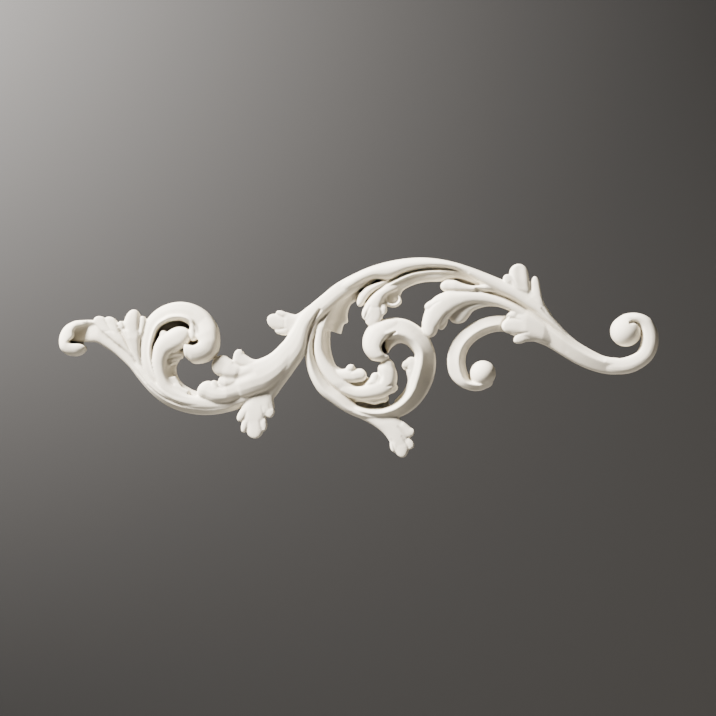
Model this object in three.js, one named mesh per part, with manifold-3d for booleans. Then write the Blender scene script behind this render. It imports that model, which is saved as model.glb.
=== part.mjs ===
// A carved acanthus scroll, cast in one piece with a flat back, to be fixed to a wall or a door.
// +X runs to the right, +Z up, and the relief rises from the flat back towards -Y.
import * as THREE from "three";
import { mergeVertices } from "three/addons/utils/BufferGeometryUtils.js";
import Module from "manifold-3d";

// Driving dimensions, in millimetres
const LENGTH = 600;
const RELIEF = 28;

// The pattern that the carver works from: its own length, its highest point, and the place
// on it, in the broad middle stem, where the origin of the finished piece lies
const PATTERN_LENGTH = 596.5;
const PATTERN_RELIEF = 28;
const ORIGIN_ACROSS = 300;
const ORIGIN_DOWN = 335;

// How finely a form is faceted: the longest facet along it on the pattern, the widest turn from
// one facet to the next, the fewest facets along it, and the angles at which a tip is stepped
const FACET_LENGTH = 17;
const FACET_TURN = 19;
const FEWEST_FACETS = 2;
const TIP_ANGLES = [40, 75];
const TIP_FULLNESS = 0.6;

// The round buds in the eyes of the two right-hand volutes, on the pattern, with the sides and
// steps of their low domes, and the share of their height that is the upright wall
const LARGE_BUD_RADIUS = 15.2;
const LARGE_BUD_HEIGHT = 23;
const SMALL_BUD_RADIUS = 12.8;
const SMALL_BUD_HEIGHT = 21;
const BUD_SIDES = 20;
const BUD_STEPS = 5;
const BUD_WALL = 0.4;

// Every form starts this far behind the back plane, and is then cut off flat at it
const BACK_ALLOWANCE = 3;

const scale = LENGTH / PATTERN_LENGTH;
const rise = RELIEF / PATTERN_RELIEF;

// Cross-sections, from edge to edge: place across from -1 to 1, and share of the crest height
const crown = [[-1, 0.46], [-0.84, 0.78], [-0.4, 0.97], [0.4, 0.97], [0.84, 0.78], [1, 0.46]];
const curl = [[-1, 0.46], [-0.84, 0.76], [-0.4, 0.93], [0.3, 1], [0.86, 0.97], [1, 0.86]];
const pillow = [[-1, 0.7], [-0.84, 0.92], [0, 1], [0.84, 0.92], [1, 0.7]];
const keel = [[-1, 0.5], [-0.85, 0.7], [0, 1], [0.85, 0.7], [1, 0.5]];
const nearKeel = [[-1, 0.6], [-0.85, 0.82], [-0.32, 1], [0.86, 0.68], [1, 0.5]];
const nearLip = [[-1, 0.45], [-0.86, 0.86], [-0.6, 1], [-0.25, 0.86], [0.85, 0.68], [1, 0.45]];
const roof = [[-1, 0.55], [-0.86, 0.72], [0.2, 1], [0.9, 0.42], [1, 0.3]];
const roll = [[-1, 0.76], [-0.8, 0.9], [0.15, 1], [0.75, 0.9], [1, 0.68]];
const sheet = [[-1, 0.8], [-0.75, 1], [0.75, 1], [1, 0.8]];
const lobe = [[-1, 0.86], [-0.6, 1], [0.6, 1], [1, 0.86]];
const slope = [[-1, 1], [-0.6, 0.9], [0, 0.55], [0.85, 0.5], [1, 0.38]];
const plain = [[-1, 1], [1, 1]];

const mirrored = (section) => section.map(([across, height]) => [-across, height]).reverse();
const farKeel = mirrored(nearKeel);
const farLip = mirrored(nearLip);

// A form is carved along a row of stations. A station has the two edges of the form on the
// pattern, across and down, and then the height of its crest. A tip is the point of a rounded end.
const form = (section, stations, tip) => ({ section, stations, tip });

const leftVolute = [
  form(pillow, [
    [143, 372, 152, 393.5, 13], [128, 350, 130, 367, 13], [112, 336, 110, 349.5, 13],
    [101, 323, 97, 342.3, 13], [94, 320.7, 92, 342, 11.8], [87, 320.4, 86.5, 341.8, 10],
    [79, 321, 77.6, 341.7, 7.2],
  ]),
  form(slope, [
    [100, 324, 98, 341.8, 12], [92, 321, 90, 341.7, 13.5], [84, 321, 83.5, 341.3, 14],
    [73, 324.5, 72.5, 340.7, 14],
  ]),
  form(curl, [
    [93, 320, 90, 325, 11], [84, 320.2, 83, 327, 14.5], [76, 321, 77.5, 328, 17.5],
    [66.5, 326, 75.2, 331.5, 19.5], [61.3, 334, 75.3, 336, 20], [60, 342, 72, 340.3, 20],
    [61.8, 349.5, 69.5, 341.5, 20], [68, 354.8, 71.5, 343.3, 20], [76, 356.5, 77, 343.9, 20],
  ], [87, 349.3]),
  form(plain, [[69, 338, 70, 346, 2], [83, 338, 84, 345.5, 2]]),
];

const leftLeaves = [
  form(sheet, [
    [140, 372, 139, 364, 12], [129, 355, 132, 350, 15], [114, 341, 126, 339, 16],
    [104, 332.5, 121.5, 332, 15.7], [98, 326, 119, 327.8, 12.5],
  ]),
  form(sheet, [
    [145, 374, 147, 370, 12], [138, 362, 142, 360, 15], [131, 348, 140.8, 348, 17],
    [126, 338, 141.3, 338, 18], [122.3, 331, 143, 331, 17.6], [121, 326, 144.3, 326.5, 13.5],
  ]),
  form(lobe, [
    [116, 343, 121, 340, 11], [102, 331, 113, 330, 15.3], [95, 322, 107, 320.4, 15],
  ], [99.3, 316.4]),
  form(lobe, [
    [121, 343, 125, 341, 11], [110, 328.5, 121, 333, 15.7], [106, 320.3, 119.4, 326.2, 15],
  ], [112.8, 317.5]),
  form(lobe, [[130, 344, 134, 343, 11], [119.8, 328, 127, 326, 16.7]], [121.5, 321.3]),
  form(pillow, [
    [135, 356, 140, 355, 11], [128.5, 338, 140.8, 338, 17.6], [125, 323.5, 141.2, 321.5, 18.3],
  ], [134.3, 309.8]),
  form(lobe, [
    [141, 350, 143, 350, 11], [139.5, 332, 144.5, 333, 17], [140.3, 320, 147.2, 322, 16.5],
  ], [144, 316.3]),
  form(plain, [[98, 325, 107, 324, 8], [101, 335, 109, 335, 8]]),
  form(plain, [[117, 326, 124, 326, 9], [122, 337, 128, 335, 9.5], [128, 350, 134, 348, 10]]),
  form(plain, [[138, 318, 144, 320, 10], [139, 332, 144, 332, 10], [138, 356, 144, 356, 11]]),
];

const leftSpiral = [
  form(keel, [
    [100, 338, 103, 345.7, 9], [112, 345, 117, 354.8, 12], [125, 356, 130, 367.2, 13],
    [138, 370, 142, 382.7, 14], [150, 383, 154, 395.7, 15], [162, 392, 167, 405.2, 15],
    [176, 399, 182, 411.3, 15], [194, 403, 198, 414.5, 15], [212, 405, 214, 414.5, 15],
    [228, 403, 232, 411, 15], [243, 398, 247, 406, 14], [256, 392, 262, 400, 12],
  ]),
  form(pillow, [
    [134, 352, 125, 356, 10], [143, 366, 138, 370, 15], [154, 380, 149, 385, 17],
    [166, 389, 161, 395, 18], [181, 395.5, 177, 402.5, 18], [200, 396, 197, 409, 17],
    [220, 395, 220, 410, 16], [240, 389, 243, 405, 16], [260, 378, 264, 395, 15],
  ]),
  form(slope, [
    [168, 363, 176.5, 363, 14], [166.5, 372, 176.7, 372, 16], [169, 381, 180, 380.5, 16],
    [176, 388.5, 187, 386.5, 16], [187, 395, 195, 390.7, 16], [200, 399, 203, 392.7, 15],
    [214, 402, 215, 394, 12],
  ]),
  form(farLip, [
    [162, 398, 170, 392, 12], [152, 388, 163, 384, 15], [147, 378, 159, 377, 17.5],
    [143, 368, 155.3, 367, 18.5], [141.2, 355, 153, 355, 19.3], [141.6, 343, 154, 343, 20],
    [147, 321.2, 160, 328, 21], [157, 310, 167, 323, 22], [170, 303.7, 174.5, 321, 23],
    [184, 302.2, 182, 321, 23], [198, 306, 189, 325, 23], [210, 314.5, 193, 331, 24],
    [218, 326.5, 196.5, 337, 24], [220.6, 341, 201.5, 341, 22],
  ]),
  form(curl, [
    [198, 306, 190, 325, 14], [210, 314.5, 193.5, 331, 21], [218, 326.5, 196.5, 337, 25],
    [220.3, 341, 200.3, 341.8, 27], [217.3, 354.5, 197, 344.7, 27.8], [207, 362.2, 194, 345.6, 27.9],
    [195, 363.7, 190, 345, 27], [188, 358.8, 187.5, 344.6, 26],
  ], [184.8, 350.5]),
  form(crown, [
    [159, 319, 163, 324.5, 17], [167, 315, 170, 321, 22], [176, 313.8, 177, 319.5, 24],
    [186, 314.8, 184.5, 320, 25], [195, 319.3, 189.8, 323.3, 25], [198.5, 327, 190.2, 328.4, 24.5],
    [200.3, 333, 188.8, 334.6, 23.5],
  ], [194.4, 341.2]),
  form(plain, [
    [150, 352, 160, 356, 2], [150, 336, 165, 342, 2], [163, 318, 172, 335, 2], [186, 316, 184, 335, 2],
    [196, 332, 184, 350, 2], [204, 340, 190, 352, 2],
  ]),
  form(plain, [[176, 384, 171, 391, 15], [190, 390.5, 186, 398, 15]]),
];

const curledLeaf = [
  form(pillow, [
    [226, 402, 222, 395, 11], [203, 403.5, 203, 396, 16], [185, 401.5, 188, 394.5, 17.3],
    [171, 397, 180, 390.5, 18], [161, 389, 172.5, 384.5, 18.3], [155.5, 377, 167.5, 374, 19],
    [152.8, 364, 167, 364, 20], [153.5, 354, 168, 359, 21], [155.5, 345, 171, 354, 22],
    [161, 336.5, 178, 351, 23], [170, 331, 184.8, 347.5, 24],
  ], [189, 330]),
  form(pillow, [
    [155, 354, 166, 356, 16], [156.7, 343, 170, 347, 20.5], [160.5, 335.5, 171, 338, 20],
  ], [165, 330.5]),
  form(pillow, [
    [165, 361, 166, 356, 13], [173, 357.5, 173, 352, 17], [184.5, 355.5, 183.6, 350.4, 15],
  ]),
  form(pillow, [[165, 365, 166, 361, 12], [173, 361.5, 173, 357, 15], [183.5, 358.5, 183, 354.5, 13]]),
  form(pillow, [[166, 369, 167, 365, 11], [172, 365.5, 172, 361, 14], [179.5, 361.7, 179, 358.5, 12]]),
  form(plain, [[164, 350, 164, 372, 8], [182, 349, 177, 366, 8]]),
  form(plain, [[166, 378, 176, 376, 14], [172, 392, 182, 386, 14]]),
];

const leafOverStem = [
  form(roll, [
    [310, 318, 318, 335, 14], [298, 330, 309, 347, 19], [285, 340.5, 297, 362, 21.5],
    [271, 353.7, 284, 378, 22.5], [257, 360, 270, 389, 22.5], [245, 362.5, 256, 394.5, 22],
    [236, 366, 243, 398.5, 20.5], [226, 372, 230, 400.8, 15],
  ]),
  form(lobe, [
    [268, 357.5, 262, 370, 16], [254, 359.4, 246, 371, 19.8], [244.5, 354, 234.4, 363, 19.8],
  ], [237, 350.5]),
  form(lobe, [
    [254, 362, 250, 382, 17], [239, 363.5, 234, 383, 20.6], [231.5, 359.5, 225, 379, 20.6],
    [226.5, 355.8, 221, 376, 20],
  ], [213, 362.8]),
  form(lobe, [[242, 375, 242, 388, 15], [226.5, 376.5, 226, 388, 20]], [219.3, 380.3]),
  form(roll, [
    [247, 377, 247, 398, 17], [227, 384, 228, 402.2, 20.8], [218, 382.7, 214, 402.7, 20.5],
    [211.5, 381, 204, 399, 19.7],
  ], [198.8, 388]),
  form(lobe, [[232, 385, 230, 395, 15], [219.5, 384.3, 214, 391, 20]], [213.3, 380.8]),
];

const middleStem = [
  form(roll, [
    [240, 384, 262, 405, 11], [254, 369, 274, 398, 17], [267, 357, 283, 386, 20],
    [280, 346, 294, 371, 21.5], [291, 331.5, 305, 354, 22], [300, 316, 311, 331, 21.5],
    [309, 306.5, 318, 322, 20.5], [322, 295.5, 331, 311, 20], [336, 284.3, 345, 299, 20],
    [352, 275.3, 359, 290, 18], [369, 267.5, 375, 281, 12],
  ]),
];

const hangingLeaf = [
  form(sheet, [
    [256, 378, 282, 380, 12.5], [252, 388, 277, 391, 15], [247.5, 399, 273.7, 399, 16],
    [241.7, 408.5, 274.3, 408.5, 16.3], [243.3, 418, 267, 415, 16.2], [245.7, 426.5, 264.3, 425, 15.8],
  ], [255.3, 434]),
  form(lobe, [
    [250, 405, 261, 404, 12], [248, 420, 263.5, 419, 16], [247, 429.8, 263.5, 429, 16.1],
  ], [255.7, 438.2]),
  form(lobe, [[254, 404, 257, 411, 12], [241.7, 408.7, 248.5, 416.5, 16]], [238.3, 420.4]),
  form(lobe, [[255, 414, 257, 422, 12], [243.7, 419.3, 249, 428, 15.9]], [242.4, 431.3]),
  form(lobe, [[253, 415, 259, 410, 12], [260, 425.5, 266.2, 418.6, 15.8]], [266, 430]),
  form(lobe, [[257, 404, 266, 396, 12], [264.2, 412, 274.4, 409.2, 16]], [271.2, 417.4]),
];

const upperLeaf = [
  form(sheet, [
    [309, 306, 309, 334, 15], [296, 314.8, 296, 334, 16.3], [286, 313.2, 286, 333.5, 16.3],
    [279, 314.5, 279, 330.5, 13.5],
  ]),
  form(lobe, [[299, 316, 298, 322, 12], [285, 312.2, 281, 319, 16]], [276.8, 312]),
  form(lobe, [
    [296, 318, 296, 329, 12], [284, 315, 284, 331, 16.1], [276.7, 314.5, 276.3, 330, 16],
  ], [267.5, 320]),
  form(lobe, [[298, 326, 298, 333, 12], [283, 327, 286, 335.4, 15.8]], [275.5, 331.3]),
];

const hollowLeaf = [
  form(slope, [
    [353, 282, 358.5, 289, 16.5], [347.5, 288, 358, 299, 17.3], [341.5, 296.5, 351, 304.5, 17.3],
    [334, 305, 348.5, 310, 17], [329, 313, 347.6, 316, 16.5], [325.5, 320, 347.8, 322.3, 16],
    [324.8, 322.5, 344, 324.3, 15.7], [323, 328.5, 341.3, 334.3, 15],
  ]),
];

const centralSpiral = [
  form(nearKeel, [
    [324, 308, 327, 313, 14], [314, 324, 319.5, 326, 18], [308.3, 338, 316, 338, 18.5],
    [305.6, 352, 315.5, 351, 18.5], [306.3, 364, 318.5, 362, 18.5], [310.7, 378, 324, 373, 18.5],
    [319.7, 393, 332.5, 384, 18.5], [332.7, 403.3, 343, 392, 18.5], [347, 412.5, 353.4, 402.3, 18],
    [363, 418.8, 362, 407.5, 17.2], [380, 420.3, 376, 409.5, 16], [398, 417.5, 391, 406.5, 13],
  ]),
  form(farKeel, [
    [334, 404.7, 342, 395, 8], [348.5, 413.4, 353.8, 403.8, 14.5], [362, 418.5, 361, 407, 17.8],
    [380, 420.5, 376, 409.3, 19], [398, 417.7, 390, 405.5, 20], [412.3, 410, 400, 398, 21],
    [424.3, 397.3, 406.5, 388, 22], [432.5, 381, 409.3, 376, 23], [435.6, 364, 413, 364, 24],
    [433.5, 348, 414.5, 354.5, 24], [425.3, 333, 410, 347.5, 24], [411, 321.7, 403, 343.3, 25],
    [396, 318, 395.5, 341, 26], [381, 320.3, 389, 340, 27], [369.3, 326, 384.5, 340, 26],
  ]),
  form(curl, [
    [411, 321.7, 403, 338, 14], [396, 318, 394.5, 332.8, 22], [381, 320.3, 387.5, 337.5, 26],
    [369.3, 326, 383, 342, 27.7], [363, 338, 381, 346.5, 27.9], [363.7, 350, 381.7, 350.3, 27.9],
    [371.3, 359.7, 384, 353.7, 27.5], [381, 362, 386.3, 355, 25.5],
  ], [388, 358.7]),
  form(pillow, [
    [411, 338, 413.5, 352.5, 16], [404, 333.3, 405.5, 344, 20.5], [397, 332, 398.5, 343.1, 21.5],
    [390.5, 335.3, 393.3, 346, 21], [385.7, 341, 389.8, 350, 18.5], [385, 347, 388, 353.7, 14],
  ]),
  form(pillow, [
    [326, 311, 330, 315, 12], [317.5, 325, 326, 328, 17.7], [314, 338, 324, 340, 18.2],
    [313.5, 351, 325, 352, 18.2], [316.5, 363, 330, 362, 18.7], [322.5, 374, 337, 371, 19],
    [330.5, 384.5, 346, 381, 19.5], [340.5, 392.5, 354, 385.5, 18.5], [350, 397, 362, 388, 15],
  ]),
  form(slope, [
    [333, 303, 336, 306, 16], [326, 318, 331, 325, 17], [323, 331, 330.2, 334, 16.5],
    [322.5, 345, 330.3, 345, 16.5], [325, 356, 332.5, 357, 16.5], [330, 365, 336.5, 366, 16.5],
    [337, 372, 342, 369, 16],
  ]),
  form(plain, [[392, 338, 385, 356, 3], [384, 334, 379, 346, 3]]),
  form(plain, [[352, 399, 354, 406, 2], [372, 400, 372, 411, 2], [388, 397.5, 390, 408, 2]]),
  form(plain, [[344, 392, 342, 400, 9], [360, 394, 356, 402, 9]]),
];

const spiralLeaf = [
  form(pillow, [
    [326, 362, 329, 373, 13], [336, 369.3, 340, 380, 17], [345, 369, 349, 382, 19.5],
    [353, 369.3, 356, 382.3, 20.3], [359.5, 368.6, 361.5, 381.3, 20],
  ], [366.3, 374.5]),
  form(pillow, [[341, 374, 348, 377, 14], [346, 368.3, 355, 370, 19.3]], [351.9, 364.3]),
  form(plain, [[336, 378, 336, 386, 10], [350, 379, 350, 388, 9], [368, 377, 368, 388, 9]]),
  form(pillow, [
    [328, 384, 336, 374, 14], [340, 392.5, 345.5, 382.5, 19], [352, 398, 356, 386.3, 20],
    [364, 399.7, 364, 385.3, 21], [376, 398.5, 371, 382, 22], [386, 396, 376, 379, 23],
    [393, 391.3, 378.5, 375.5, 24], [396.5, 383, 378, 370, 24.5], [397, 374, 378.5, 366, 24.5],
    [394.3, 366, 381.8, 363, 23.5],
  ], [388, 358.7]),
  form(pillow, [
    [360, 388, 378, 391, 17], [366.5, 382, 380, 383, 21.5], [370.8, 377, 379.5, 376, 21],
  ], [375, 372.5]),
  form(pillow, [[383, 385, 387, 390, 18], [394.2, 384, 390.3, 393.3, 20]], [397.2, 389]),
  form(pillow, [
    [354, 397, 356, 401.5, 11], [364, 396, 364, 402, 14.5], [376, 395, 374, 404.3, 15],
    [384, 393, 382.8, 402.3, 14.5],
  ], [388.5, 398.5]),
  form(sheet, [
    [394, 401, 410, 399, 10], [403.5, 391, 418, 388, 15.5], [407.8, 381, 421, 379, 18],
    [406, 371.5, 420, 370.5, 19], [405.3, 364.5, 418, 362.7, 19],
  ], [410.5, 357]),
  form(lobe, [[411, 374, 415, 368, 14], [404.7, 370, 409.5, 360, 18.8]], [402.3, 363.3]),
];

const lowerRightLeaf = [
  form(sheet, [
    [345, 410, 384, 408, 13], [360, 418, 395, 414.5, 15.5], [374, 425.5, 401, 420.5, 16.3],
    [384, 433.7, 406.3, 428, 16.3], [389.7, 441.5, 408.3, 437.5, 16.1],
    [392.3, 447, 408.6, 444.5, 15.7],
  ], [401, 454.3]),
  form(lobe, [[389, 432, 403, 429, 12], [394, 446.5, 408.8, 444.5, 15.9]], [402.5, 457]),
  form(lobe, [
    [383, 418, 393, 415.5, 12], [395, 431, 404.5, 422.3, 16], [402.5, 437.5, 410.5, 427.5, 15.8],
  ], [413.3, 434.4]),
  form(lobe, [[392, 433, 401, 429, 12], [401.5, 446, 410.3, 439, 15.8]], [412.8, 447.6]),
  form(lobe, [[386, 433, 394, 433, 12], [390, 442, 399, 444.5, 15.8]], [393.3, 451.6]),
];

const archBand = [
  form(crown, [
    [322, 295.5, 329, 310, 14], [336, 284.3, 343, 298, 19], [352, 275.3, 357, 287.7, 21],
    [369, 267.5, 373, 280, 21], [387, 262.2, 390, 280.5, 21], [405, 259, 406, 273.5, 21],
    [421, 258, 421, 270.5, 21], [438, 259.3, 438, 270, 21], [455, 262.8, 452, 271, 20],
    [472, 268.2, 468, 277.5, 19.5], [488, 274.3, 482, 285.5, 19], [503, 280.5, 496, 293, 18.5],
    [518, 287, 511, 300, 18.5], [534, 297, 524, 308, 18.5], [544, 305.5, 537, 316, 18.5],
    [552, 316.5, 546, 324, 18], [562, 328, 558, 334.5, 17], [575, 340.3, 571, 346.5, 15],
    [589, 349, 586, 354, 11],
  ]),
  form(plain, [
    [355, 301, 362, 304, 2], [357, 292, 366, 303, 2], [366, 280, 376, 292, 2], [384, 275, 389, 284, 2],
  ]),
  form(plain, [[443, 279.8, 446, 288, 2], [455, 272, 456, 288, 2], [487, 279, 485, 294, 2]]),
  form(plain, [[392, 276, 396, 283, 8], [408, 269, 410, 277, 8], [426, 267, 426, 275, 8]]),
];

const archLeaf = [
  form(nearLip, [
    [486, 283, 482, 288, 8], [472, 276.5, 470, 282, 12.5], [457, 271.3, 456, 278.5, 16.5],
    [440, 269.3, 440, 281.5, 19], [425, 270, 426, 282, 19], [410, 273, 413, 285, 19.5],
    [397, 278.5, 402, 289.3, 20], [385, 285.3, 392.5, 292.5, 20], [376, 291.3, 385.5, 297, 18],
  ]),
  form(pillow, [
    [398, 277.7, 404, 288, 15], [386, 285, 394, 292.3, 19.5], [376.3, 291.5, 386, 297, 21.5],
    [369, 299, 384, 301.5, 22.3], [364.7, 306, 383.7, 307, 22.3], [364, 313, 383, 312.7, 20.5],
  ]),
  form(lobe, [
    [369, 298, 382, 300, 17], [365, 308, 383.7, 309, 22.2], [365.5, 316, 383.2, 315.3, 22],
  ], [371.8, 326.4]),
  form(lobe, [[370, 299, 378, 302, 16], [362.7, 310, 372, 314.5, 21.9]], [364.6, 320]),
  form(lobe, [[375, 298, 383, 296, 16], [376.5, 311.5, 386.2, 307.3, 21.7]], [384.3, 314.6]),
  form(pillow, [
    [394, 276, 397, 282, 12], [382, 281.3, 387, 287.5, 18], [374, 284, 377.5, 290.5, 19],
    [366, 287.5, 370.5, 295.5, 19], [360, 293, 366, 302, 18],
  ], [357.7, 305.7]),
  form(sheet, [
    [410, 277, 420, 282.8, 13], [399, 284, 409.5, 286.6, 16], [390.5, 289, 402.5, 291, 15],
    [384, 296, 400, 296, 13.5],
  ], [392, 306]),
  form(crown, [
    [385, 294.5, 388, 295.5, 14], [382.8, 299, 387, 299, 17], [385, 304.5, 388.8, 301.8, 18],
    [391.5, 307.7, 392.5, 303.5, 18.5], [398.3, 306, 396.3, 302.3, 18.5],
    [401.8, 301.5, 398, 299.3, 18], [399.7, 296, 397, 295.7, 16],
  ]),
  form(plain, [[380, 287, 384, 292, 12], [371, 293, 377, 297, 12], [364, 301, 369, 304, 12]]),
];

const rightLeaf = [
  form(pillow, [
    [545, 325, 539, 333, 14], [530, 313, 524, 322, 17], [515, 304.5, 510, 311.5, 18],
    [500, 298, 496, 306.3, 18.5], [485, 293.5, 480, 304, 19.5], [470, 291.5, 468, 305, 20.5],
    [457, 291.5, 459, 309, 21.5], [446, 292.3, 452, 314, 22.5], [436, 296.3, 447, 319.5, 23],
    [429, 303, 443.5, 324, 23], [424.8, 311.5, 439.8, 327, 22.5], [422, 322, 437.3, 329.3, 22],
  ], [428, 336.7]),
  form(pillow, [
    [458, 303, 464, 308, 15], [447, 310, 453, 312, 19.5], [440.5, 319, 449.3, 316, 19],
    [438.8, 325, 447.3, 321.5, 18.3],
  ], [442, 329.7]),
  form(pillow, [[444, 296, 450, 302, 16], [431.5, 300.5, 437, 310, 21]], [424.8, 308.4]),
  form(pillow, [
    [530, 314, 530, 319, 11], [507, 303, 508.5, 309.3, 15.5], [490, 300.8, 491, 306.3, 16.5],
    [476, 301.8, 480, 308, 17], [463, 305, 472.5, 311.5, 17], [453.5, 310, 469.3, 315.7, 17],
    [450, 315, 466.3, 319.7, 16.5],
  ], [454.5, 323.2]),
  form(pillow, [
    [508, 287, 506, 294, 11], [486, 285, 484, 292.5, 18], [472, 286, 471, 292, 19.5],
    [462, 283.7, 461, 292, 20], [454, 280.6, 453, 292, 20], [448, 280.5, 447.5, 292, 19],
  ], [440.2, 286.3]),
  form(plain, [[474, 286, 474, 296, 12.5], [500, 288, 497, 303, 12.5], [530, 303, 526, 316, 12.5]]),
];

const rightVolute = [
  form(nearKeel, [
    [532, 300, 516, 335, 13], [541, 301, 530, 340, 16.5], [550, 315, 546, 346, 18],
    [561, 327.5, 561, 355, 18.5], [575, 340.3, 579, 365.3, 18], [590, 349.7, 596, 371.8, 17.5],
    [604, 356.3, 611, 374.4, 17], [618, 358.2, 626, 373.5, 16],
  ]),
  form(roll, [
    [592, 351.7, 598, 370.8, 12], [606, 357, 613, 374.1, 16.3], [619, 358.4, 628, 373.3, 18],
    [630, 355.6, 641, 367.7, 19], [638, 349.8, 651.5, 358.3, 20], [641, 341, 656.7, 345, 20.5],
    [641, 332, 656, 331, 20.5], [638.3, 325.5, 648.5, 318.5, 20.5], [632, 322.3, 636.5, 313.3, 20],
    [628, 324, 624, 314.2, 18], [624, 326, 615.5, 319.5, 14],
  ]),
];

const topLeaf = [
  form(sheet, [
    [558, 328, 562, 331, 13], [543, 312, 550, 317, 16], [527, 300, 542.5, 304, 17.2],
    [514, 288.5, 539, 292.5, 15],
  ]),
  form(sheet, [
    [523, 301, 533, 304, 13], [511, 288, 529.5, 291.5, 17.7], [508.6, 279, 528.4, 281, 18],
    [509.3, 273.5, 527.5, 273.8, 17.7],
  ], [518, 264.4]),
  form(lobe, [[519, 294, 523, 288, 14], [505.5, 284, 512.5, 277.5, 17]], [504.2, 275.6]),
  form(lobe, [
    [548, 316, 551, 315, 12], [535, 300, 542.3, 301, 16], [530.8, 291, 540.2, 293, 16],
    [530.2, 286, 539.2, 286, 15.5],
  ], [534, 276.7]),
];

const calyx = [
  form(sheet, [
    [562, 333, 557, 348, 12], [545, 318, 541, 341.5, 17], [526, 310.5, 524, 338, 18.3],
    [515, 313, 514.5, 335.2, 17.6],
  ], [507, 326]),
  form(lobe, [[532, 312, 530, 321, 13], [514, 311, 512.5, 320.3, 17.5]], [506, 316.3]),
  form(lobe, [
    [534, 318, 534, 332, 14], [520, 318, 520, 334, 18], [510.3, 318.3, 511, 333.3, 17.8],
  ], [501, 326.5]),
  form(lobe, [[538, 330, 540, 341, 13], [520, 331.5, 525, 341.8, 17]], [513.3, 341.5]),
];

const smallScroll = [
  form(roof, [
    [520, 316, 520, 333, 11], [504, 315.7, 503, 331.5, 14], [492, 316.2, 493, 332.4, 15],
    [480, 319.3, 482, 336.7, 15.5], [467, 326.7, 474, 342.2, 16], [456, 336.7, 468, 350, 16],
    [449, 349.5, 465.4, 358.5, 16], [447, 362, 466, 367.5, 16], [449.8, 375.8, 468.5, 375.5, 16.5],
    [458, 385, 471, 380, 17], [470, 390.3, 475.5, 380, 17], [480, 390.6, 480, 380.5, 17],
    [487, 387.8, 485, 380, 16],
  ], [492.5, 382]),
];

const forms = [
  ...leftVolute,
  ...leftLeaves,
  ...leftSpiral,
  ...curledLeaf,
  ...leafOverStem,
  ...middleStem,
  ...hangingLeaf,
  ...upperLeaf,
  ...hollowLeaf,
  ...centralSpiral,
  ...spiralLeaf,
  ...lowerRightLeaf,
  ...archBand,
  ...archLeaf,
  ...rightLeaf,
  ...rightVolute,
  ...topLeaf,
  ...calyx,
  ...smallScroll,
];

const buds = [
  { across: 625.3, down: 331.3, radius: LARGE_BUD_RADIUS, height: LARGE_BUD_HEIGHT },
  { across: 482.6, down: 373.4, radius: SMALL_BUD_RADIUS, height: SMALL_BUD_HEIGHT },
];

const wasm = await Module();
wasm.setup();

function solidOf(geometry) {
  geometry.deleteAttribute("normal");
  geometry.deleteAttribute("uv");
  const merged = mergeVertices(geometry, 1e-3);
  const triVerts = new Uint32Array(merged.index.array);
  const vertProperties = merged.attributes.position.array;
  const solid = new wasm.Manifold(new wasm.Mesh({ numProp: 3, vertProperties, triVerts }));
  if (solid.volume() > 0) {
    return solid;
  }
  const turned = triVerts.map((_, i) => triVerts[i - (i % 3) + [0, 2, 1][i % 3]]);
  return new wasm.Manifold(new wasm.Mesh({ numProp: 3, vertProperties, triVerts: turned }));
}

// From the pattern, which reads across and down, to the finished piece
function place(across, down, height) {
  return new THREE.Vector3((across - ORIGIN_ACROSS) * scale, -height, (ORIGIN_DOWN - down) * scale);
}

// How far the middle line of a form turns from end to end, in degrees
function turnAlong(stations) {
  const middle = stations.map(([ax, ay, bx, by]) => new THREE.Vector2((ax + bx) / 2, (ay + by) / 2));
  const legs = middle.slice(1).map((point, i) => point.clone().sub(middle[i]));
  const turns = legs.slice(1).map((leg, i) => Math.abs(leg.angleTo(legs[i])));
  return THREE.MathUtils.radToDeg(turns.reduce((sum, turn) => sum + turn, 0));
}

// The rows of a form: for each facet along it, both edges and the crest height, and how much
// of the cross-section above its edge height is left where the tip rounds down
function rowsOf({ stations, tip }) {
  const near = new THREE.CatmullRomCurve3(stations.map(([across, down]) => place(across, down, 0)));
  const far = new THREE.CatmullRomCurve3(stations.map(([, , across, down]) => place(across, down, 0)));
  const crest = new THREE.CatmullRomCurve3(
    stations.map(([, , , , height], i) => new THREE.Vector3(i, height * rise, 0)),
  );
  const byLength = Math.max(near.getLength(), far.getLength()) / scale / FACET_LENGTH;
  const byTurn = turnAlong(stations) / FACET_TURN;
  const count = Math.round(Math.max(FEWEST_FACETS, byLength, byTurn));
  const rows = [];
  for (let i = 0; i <= count; i++) {
    const t = i / count;
    rows.push({ near: near.getPoint(t), far: far.getPoint(t), height: crest.getPoint(t).y, left: 1 });
  }
  if (tip) {
    const end = rows[count];
    const middle = end.near.clone().lerp(end.far, 0.5);
    const reach = place(tip[0], tip[1], 0).sub(middle);
    for (const angle of TIP_ANGLES) {
      const turn = THREE.MathUtils.degToRad(angle);
      const centre = middle.clone().addScaledVector(reach, Math.sin(turn));
      rows.push({
        near: end.near.clone().sub(middle).multiplyScalar(Math.cos(turn)).add(centre),
        far: end.far.clone().sub(middle).multiplyScalar(Math.cos(turn)).add(centre),
        height: end.height,
        left: Math.cos(turn) ** TIP_FULLNESS,
      });
    }
  }
  return rows;
}

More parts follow.
